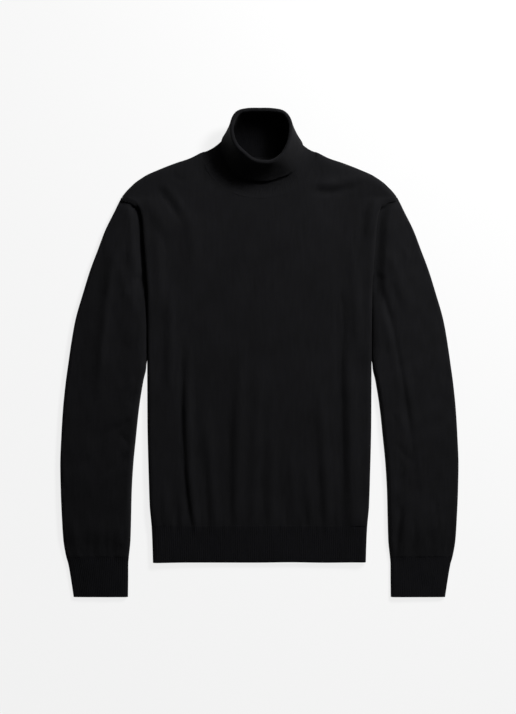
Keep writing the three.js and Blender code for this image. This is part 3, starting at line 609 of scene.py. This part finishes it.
def back_sheet():
    edge = float(back_half(TIP_Y))
    side = np.concatenate([np.linspace(NECK_HALF / edge, 0.97, 24)[1:], [0.98, 0.99, 0.996, 1]])
    middle = -NECK_HALF / edge * np.cos(np.linspace(0, math.pi, 25))
    shares = np.concatenate([-side[::-1], middle, side])
    ys = [np.full(len(shares), y) for y in rows_between(BACK_MARKS, BACK_STEP)]
    ys += [mix(FOLLOW_Y, neckline(shares * edge, BACK_DROP), rise) for rise in BACK_RISES]
    y = np.array(ys)
    return back_layers(shares[None] * back_half(y), y)


back = layered_sheet("back_panel_knit", *back_sheet(), PLAIN)
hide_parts("back_panel")

hem_shares = np.concatenate([np.linspace(-1, -0.96, 6), np.linspace(-0.94, 0.94, 70),
                             np.linspace(0.96, 1, 6)])
hem_rows = [HEM_END_Y + 1, HEM_END_Y + 3, HEM_END_Y + 6, -335, -320, -305, HEM_SEAM_Y - 0.3]
hem_y = np.array(hem_rows)[:, None] + 0 * hem_shares
back_hem = layered_sheet("back_waist_rib", *back_layers(hem_shares * back_half(hem_y), hem_y), RIB)
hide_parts("back_hem_rib")


# Front of the waist rib
END_STEPS = np.array([0, 0.5, 1.2, 2.5, 5])


def rib_wave(place):
    return RIB_DEPTH * (0.5 - 0.5 * np.cos(2 * math.pi * place)) ** 0.8


def end_drop(drop, from_end):
    """How far a rib's free end is pressed down."""
    return drop * (1 - round_over(from_end, END_ROUNDING))


def hem_grid():
    ribs = round(2 * float(flat_half(HEM_SEAM_Y)) / RIB_PITCH)
    share = np.linspace(-1, 1, ribs * RIB_COLUMNS + 1)
    ys = np.concatenate([HEM_END_Y + END_STEPS, np.linspace(HEM_END_Y + 9, HEM_SEAM_Y - 8, 10),
                         HEM_SEAM_Y - np.array([5, 3, 1.6, 0.3])])
    wave = rib_wave(share * ribs / 2 + ribs / 2)
    rows, lifts = [], []
    for y in ys:
        x = share * float(flat_half(y))
        gathers = fold_rise(FRONT_FOLDS, x, HEM_SEAM_Y) + fold_rise(FRONT_CREASES, x, HEM_SEAM_Y)
        z = (HEM_HEIGHT + HEM_SIDE_RISE * np.abs(share) ** 3
             + gathers * smooth(HEM_SEAM_Y - 20, HEM_SEAM_Y, y)
             - end_drop(HEM_DROP, y - HEM_END_Y) + ripple(x, y, 8, *HEM_RIPPLE))
        uneven = ripple(x, 0 * x, 5, *HEM_END_RIPPLE) * smooth(HEM_SEAM_Y, HEM_END_Y, y)
        row = with_sides(np.stack([x, y + uneven, z], -1))
        beside = np.zeros((len(row) - len(share)) // 2)
        rows.append(row)
        lifts.append(np.concatenate([beside, wave * smooth(HEM_END_Y - 0.5, HEM_END_Y + 2, y), beside]))
    return np.array(rows), np.array(lifts)


grid, lift = hem_grid()
front_hem = cloth_wall("front_waist_rib", grid, RIB, raised=lift)
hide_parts("front_hem_rib")
hem_top = grid[-1]


# Sleeves and cuffs
def front_row_y(y):
    """The height of the front's row whose edge, opened out at the shoulder's end, reaches a height."""
    return y + float(tip_share(y)) * TIP_SLANT * (y - FOLLOW_Y)


def arm_section(y, folds, creases, height, top_columns, seed):
    """One sleeve's section at y, as x and z: from the underarm out, round the edge and back."""
    outer, inner = float(sleeve_outer(y)), float(sleeve_inner(y))
    joined = float(smooth(UNDERARM_Y + 8, UNDERARM_Y + 24, y))  # sewn to the body
    beside = float(smooth(-24, -6, y)) * (1 - joined)  # lying against the body
    valley = float(smooth(UNDERARM_Y - 70, UNDERARM_Y + 30, y))  # it closes slowly below the underarm
    under_joined = float(smooth(UNDERARM_Y - 7, UNDERARM_Y + 1, y))  # the underarm's end is closed below
    inner = mix(inner, min(inner, float(body_half(y)) - 0.3), beside)
    under_end = mix(inner + 1.6, float(back_half(y)) + ARMHOLE_GAP, under_joined)
    row_y = front_row_y(y)
    front_edge = float(flat_half(row_y))
    top_end = mix(inner + CAD_HALF - 0.5 * beside, front_edge + SIDE_BULGE * 0.45, joined)
    width = outer - top_end
    edge = min(ARM_EDGE, width * 0.3)

    lowest = CAD_HALF + LAYER
    body_top = float(front_height(front_edge, row_y, False))
    below_front = mix(8.2, 3.2, float(smooth(240, 256, row_y)))
    seam = mix(lowest, max(body_top - below_front, lowest), joined)
    full = min(height, 3 + width * 0.2)
    edge_top = mix(CAD_HALF, full, 0.78)
    middle = (edge_top + CAD_HALF) / 2

    low_x = np.linspace(under_end, outer - edge, 10)
    angle = np.linspace(0.12, 1.85, 9) * math.pi / 2
    edge_x = outer - CAD_HALF - edge * (1 - np.sin(angle))
    edge_z = middle - (middle - CAD_HALF) * np.cos(angle)
    share = np.linspace(0, 1, top_columns + 1)
    x = mix(outer - edge, top_end, share)
    dome = mix(edge_top, full, np.sin(np.minimum(share * 1.6, 1) * math.pi / 2))
    wrinkles = fold_rise(folds, x, y) + fold_rise(creases, x, y) + ripple(x, y, seed, *ARM_RIPPLE)
    cloth = dome + wrinkles * round_over(outer - x, ARM_ROUNDING)
    from_seam = x - top_end
    climb = smooth(min(7, width * 0.25), min(24, width * 0.9), from_seam)
    toward = mix(round_over(from_seam + 0.01, mix(8, ARM_ROUNDING, beside)), climb, valley)
    z = np.maximum(mix(seam, cloth, toward), lowest)
    return np.stack([np.concatenate([low_x, edge_x, x]),
                     np.concatenate([0 * low_x + CAD_HALF, edge_z, z])], -1)


def arm_height(y):
    return float(mix(ARM_END_HEIGHT, ARM_HEIGHT, smooth(CUFF_SEAM_Y, CUFF_SEAM_Y + 50, y)))


def cuff_height(y):
    return CUFF_HEIGHT - float(end_drop(CUFF_DROP, y - CUFF_END_Y))


def arm_grid(ys, side, folds, creases, height_at, columns, seed):
    rows = []
    for y in ys:
        points = arm_section(y, folds, creases, height_at(y), columns, seed)
        row = np.stack([side * points[:, 0], np.full(len(points), y), points[:, 1]], -1)
        rows.append(row if side > 0 else row[::-1])
    return np.array(rows)


ARM_MARKS = [260.6, 259.5, 256, 251, 246, 238, 228, 215, 200, 138, 112, -14, -32, CUFF_SEAM_Y + 0.3]
CUFF_ROWS = np.concatenate([CUFF_SEAM_Y - np.array([0.3, 1.6, 3, 5, 8, 12]),
                            np.linspace(CUFF_SEAM_Y - 20, CUFF_END_Y + 9, 7),
                            CUFF_END_Y + END_STEPS[::-1]])


def cuff_lift(side, shape, ribs):
    """The ribs' height for each point of a cuff's grid: only its upper run has them."""
    place = np.linspace(0, ribs, ribs * RIB_COLUMNS + 1)
    wave = rib_wave(place) * smooth(0, 5, place * RIB_PITCH)
    lift = np.zeros(shape)
    if side > 0:
        lift[:, -len(wave):] = wave
    else:
        lift[:, :len(wave)] = wave[::-1]
    return lift * smooth(CUFF_END_Y - 0.5, CUFF_END_Y + 2, CUFF_ROWS)[:, None]


def make_arm(word, side, folds, creases, seed):
    """A sleeve and its cuff. Returns the sleeve's lowest row."""
    arm_rows = arm_grid(rows_between(ARM_MARKS, STEP), side, folds, creases, arm_height,
                        ARM_COLUMNS, seed)
    arm = cloth_wall(word + "_sleeve_knit", arm_rows, PLAIN)
    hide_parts(word + "_sleeve")
    ribs = round((float(sleeve_outer(CUFF_SEAM_Y)) - float(sleeve_inner(CUFF_SEAM_Y))) / RIB_PITCH)
    gathers, small = (rows[rows[:, 1] < CUFF_SEAM_Y] for rows in (folds, creases))
    cuff_rows = arm_grid(CUFF_ROWS, side, gathers, small, cuff_height, ribs * RIB_COLUMNS, seed)
    lift = cuff_lift(side, cuff_rows.shape[:2], ribs)
    cuff = cloth_wall(word + "_cuff", cuff_rows, RIB, raised=lift)
    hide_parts(word + "_cuff_rib")
    return arm_rows[-1]


left_arm_end = make_arm("left", 1, LEFT_ARM_FOLDS, LEFT_ARM_CREASES, 21)
right_arm_end = make_arm("right", -1, RIGHT_ARM_FOLDS, RIGHT_ARM_CREASES, 34)


# Collar. Turn in degrees from the front, the crest's x, y, z, and x, y, z where the flap ends
COLLAR_STATIONS = np.array([
    (0, 8, 318.8, 45, 8, 291, 12), (22.5, 22, 320.5, 45, 31.5, 296, 12),
    (45, 35.5, 329.5, 45, 55.5, 305, 12), (67.5, 45.5, 347, 44.5, 69, 325, 12),
    (90, 49.4, 367, 44, 71, 345, 12), (112.5, 47.8, 384.5, 43.5, 61, 360, 11),
    (135, 38.5, 397, 43, 46, 371, 10.5), (157.5, 21, 400.8, 43, 25, 375, 10),
    (180, 0, 401.2, 43, 0, 377, 10), (202.5, -20.5, 400.8, 43, -24, 374, 10),
    (225, -35.5, 396, 43, -44, 370, 10.5), (247.5, -43, 380.5, 43.5, -57, 361, 10.5),
    (270, -42.4, 362, 44, -61, 346, 11), (292.5, -36, 346, 44.5, -54.5, 322.5, 12),
    (315, -23.5, 333, 45, -41, 302, 12), (337.5, -8, 321.5, 45, -18, 292.5, 12),
])
COLLAR_RIBS = 118
COLLAR_TURNS = np.arange(COLLAR_RIBS * 5) * 360 / (COLLAR_RIBS * 5)
STAND_ROWS = 30
FLAP_ROWS = 24


def stand_point(turn, share):
    """The stand at turns in degrees and a share of its height: an array of points."""
    count = len(COLLAR_STATIONS)
    place = (np.asarray(turn, float) / 360 * count) % count
    first = np.floor(place).astype(int)
    t = (place - first)[..., None]
    a, b, c, d = (COLLAR_STATIONS[(first + k) % count][..., 1:] for k in (-1, 0, 1, 2))
    table = (b * (1 + 2 * t) * (1 - t) ** 2 + 0.5 * (c - a) * t * (1 - t) ** 2
             + c * t * t * (3 - 2 * t) + 0.5 * (d - b) * t * t * (t - 1))
    crest, ledge = table[..., :3], table[..., 3:]
    angle = np.radians(turn)
    facing = np.cos(angle)
    drop = np.where(facing > 0, FRONT_DROP, -BACK_DROP)
    x = (NECK_HALF - NECK_GAP) * np.sin(angle)
    y = NECK_Y - drop * facing + NECK_GAP * np.abs(facing)
    front_z = np.maximum(front_height(x, y, False), CAD_HALF)
    start = np.stack([x, y, mix(CAD_HALF, front_z, smooth(-0.35, 0.35, facing))], -1)
    at = 1 - FLAP_SHARE
    pull = (ledge - start * (1 - at) ** 2 - crest * at * at) / (2 * at * (1 - at))
    share = np.asarray(share, float)[..., None]
    return start * (1 - share) ** 2 + 2 * pull * share * (1 - share) + crest * share * share


def stand_normal(turn, share):
    up = stand_point(turn, np.minimum(share + 0.02, 1)) - stand_point(turn, np.maximum(share - 0.02, 0))
    around = stand_point(turn + 2, share) - stand_point(turn - 2, share)
    normal = np.cross(around, up)
    return normal / np.linalg.norm(normal, axis=-1, keepdims=True)


def collar_grid():
    """The stand from the neck seam up, the roll over its crest, and the flap back down."""
    turn = COLLAR_TURNS
    one = np.ones(turn.shape)
    rows = [stand_point(turn, one * share) for share in np.linspace(0, 1, STAND_ROWS)]
    crest = stand_point(turn, one)
    outward = stand_normal(turn, one)
    upward = crest - stand_point(turn, one * 0.93)
    upward /= np.linalg.norm(upward, axis=-1, keepdims=True)
    for angle in np.radians(np.linspace(18, 180, 10)):
        rows.append(crest + outward * ROLL * (1 - math.cos(angle)) + upward * ROLL * math.sin(angle))
    uneven = 1 + 0.025 * np.sin(np.radians(turn) * 3 + 1) + 0.015 * np.sin(np.radians(turn) * 7)
    for step in np.linspace(0.06, 1, FLAP_ROWS):
        share = 1 - step * FLAP_SHARE * uneven
        away = mix(2 * ROLL, FLAP_GAP, step) + FLAP_SWELL * math.sin(math.pi * step)
        point = stand_point(turn, share) + stand_normal(turn, share) * away
        point[..., 2] = np.maximum(point[..., 2], CAD_HALF)
        rows.append(point)
    return np.array(rows)


grid = collar_grid()
wave = COLLAR_RIB_DEPTH * (0.5 - 0.5 * np.cos(np.radians(COLLAR_TURNS) * COLLAR_RIBS))
lift = np.repeat(wave[None], len(grid), 0)
collar = cloth_wall("collar_knit", grid, COLLAR, ring=True, raised=lift, raised_inside=lift)
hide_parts("collar")
# The stand's inside gets a darker, duller copy of the collar's knit: painted shade for the hole that the
# raised collar shades.
# A wall's first quads are its outer face's, row by row, and the next its inner face's.
rows, columns = len(grid) - 1, len(COLLAR_TURNS)
painted_shade = np.zeros(len(collar.data.polygons), np.int32)
painted_shade[:2 * rows * columns].reshape(2, rows, columns)[1, :STAND_ROWS - 2] = 1
collar.data.materials.append(COLLAR_PAINTED_SHADE)
collar.data.polygons.foreach_set("material_index", painted_shade)


# Seam ridges: the linked loops along the neck seam, over the waist rib and over the cuffs
CORD_SIDES = 7
CORD_STEP = 1.2
CORD_RADIUS = 0.5


def ridges(name, paths):
    """Thin cords along the paths, a little thicker at every second point and flatter than round."""
    points, faces = [], []
    for path in paths:
        along = np.gradient(path, axis=0)
        along /= np.linalg.norm(along, axis=1, keepdims=True)
        side = np.cross(along, np.tile([0.0, 0.0, 1.0], (len(path), 1)))
        side /= np.maximum(np.linalg.norm(side, axis=1, keepdims=True), 1e-9)
        up = np.cross(side, along)
        base = len(points)
        radii = CORD_RADIUS * (1 + 0.18 * np.cos(np.arange(len(path)) * math.pi))
        for i, radius in enumerate(radii):
            for k in range(CORD_SIDES):
                a = 2 * math.pi * k / CORD_SIDES
                points.append(path[i] + radius * (math.cos(a) * side[i] + math.sin(a) * 0.7 * up[i]))
        for first in range(base, base + (len(path) - 1) * CORD_SIDES, CORD_SIDES):
            for k in range(CORD_SIDES):
                n = (k + 1) % CORD_SIDES
                faces.append((first + k, first + n, first + CORD_SIDES + n, first + CORD_SIDES + k))
    make_object(name, points, faces, THREAD)


def top_of(row, lift):
    """The upper run of a row, raised a little."""
    return row[row[:, 2] > CAD_HALF + 1] + [0, 0, lift]


def evenly(path):
    """Points along a path at the cord's step."""
    lengths = np.linalg.norm(np.diff(path, axis=0), axis=1)
    reach = np.concatenate([[0], np.cumsum(lengths)])
    at = np.arange(0, reach[-1], CORD_STEP)
    return np.stack([np.interp(at, reach, path[:, k]) for k in range(3)], -1)


front_turn = np.linspace(-88, 88, 200)
front_neck = stand_point(front_turn, np.zeros(front_turn.shape)) + [0, 0, 0.5]
front_neck[:, 1] -= 0.35 * np.cos(np.radians(front_turn))
back_turn = np.linspace(92, 268, 160)
back_neck = stand_point(back_turn, np.zeros(back_turn.shape)) + [0, -0.15, 0.75]
seam_paths = [top_of(hem_top, 0.45), top_of(left_arm_end, 0.4), top_of(right_arm_end, 0.4),
              front_neck, back_neck]
ridges("seam_ridges", [evenly(path) for path in seam_paths])


# Floor, light and camera, in metres
FLOOR_SIZE = 60  # so wide that its edge shows in no low view
FLOOR_Z = -0.0003
CAMERA_PLACE = (-0.0023, -0.0076, 3.342)  # straight above, looking down
PAPER_TONE = 0.11
PAPER_GLOW = 0.825  # most of the pale surface's light, so that it's even and the shadows stay soft

paper, shader = new_material("paper", 0.9, 0.1)
shader.inputs["Base Color"].default_value = (PAPER_TONE, PAPER_TONE, PAPER_TONE, 1)
shader.inputs["Emission Color"].default_value = (1, 1, 1, 1)
shader.inputs["Emission Strength"].default_value = PAPER_GLOW
bpy.ops.mesh.primitive_plane_add(size=FLOOR_SIZE, location=(0, 0, FLOOR_Z))
floor = bpy.context.object
floor.name = "floor"
floor.data.materials.append(paper)


def area_light(name, place, aim, size, watts):
    lamp = bpy.data.lights.new(name, "AREA")
    lamp.shape = "SQUARE"
    lamp.size = size
    lamp.energy = watts
    thing = bpy.data.objects.new(name, lamp)
    thing.location = place
    thing.rotation_euler = (Vector(aim) - Vector(place)).to_track_quat("-Z", "Y").to_euler()
    bpy.context.scene.collection.objects.link(thing)


# Place, what it aims at, the side of its square, watts
area_light("key", (1.32, 1.4, 1.3), (0, 0, 0), 0.45, 73)
area_light("top", (0.45, 0.98, 0.75), (0, 0.2, 0), 0.4, 4.6)
area_light("fill", (-0.6, -0.4, 3.4), (0, 0, 0), 4.5, 4.8)
world = bpy.data.worlds.new("studio")
bpy.context.scene.world = world
world.use_nodes = True
background = world.node_tree.nodes["Background"]
background.inputs["Color"].default_value = (1, 1, 1, 1)
background.inputs["Strength"].default_value = 0.05

camera = bpy.data.cameras.new("camera")
camera.lens = 100
camera.sensor_width = 36
lens = bpy.data.objects.new("camera", camera)
lens.location = CAMERA_PLACE
bpy.context.scene.collection.objects.link(lens)
bpy.context.scene.camera = lens
bpy.context.scene.view_settings.view_transform = "Standard"
bpy.context.scene.view_settings.look = "None"
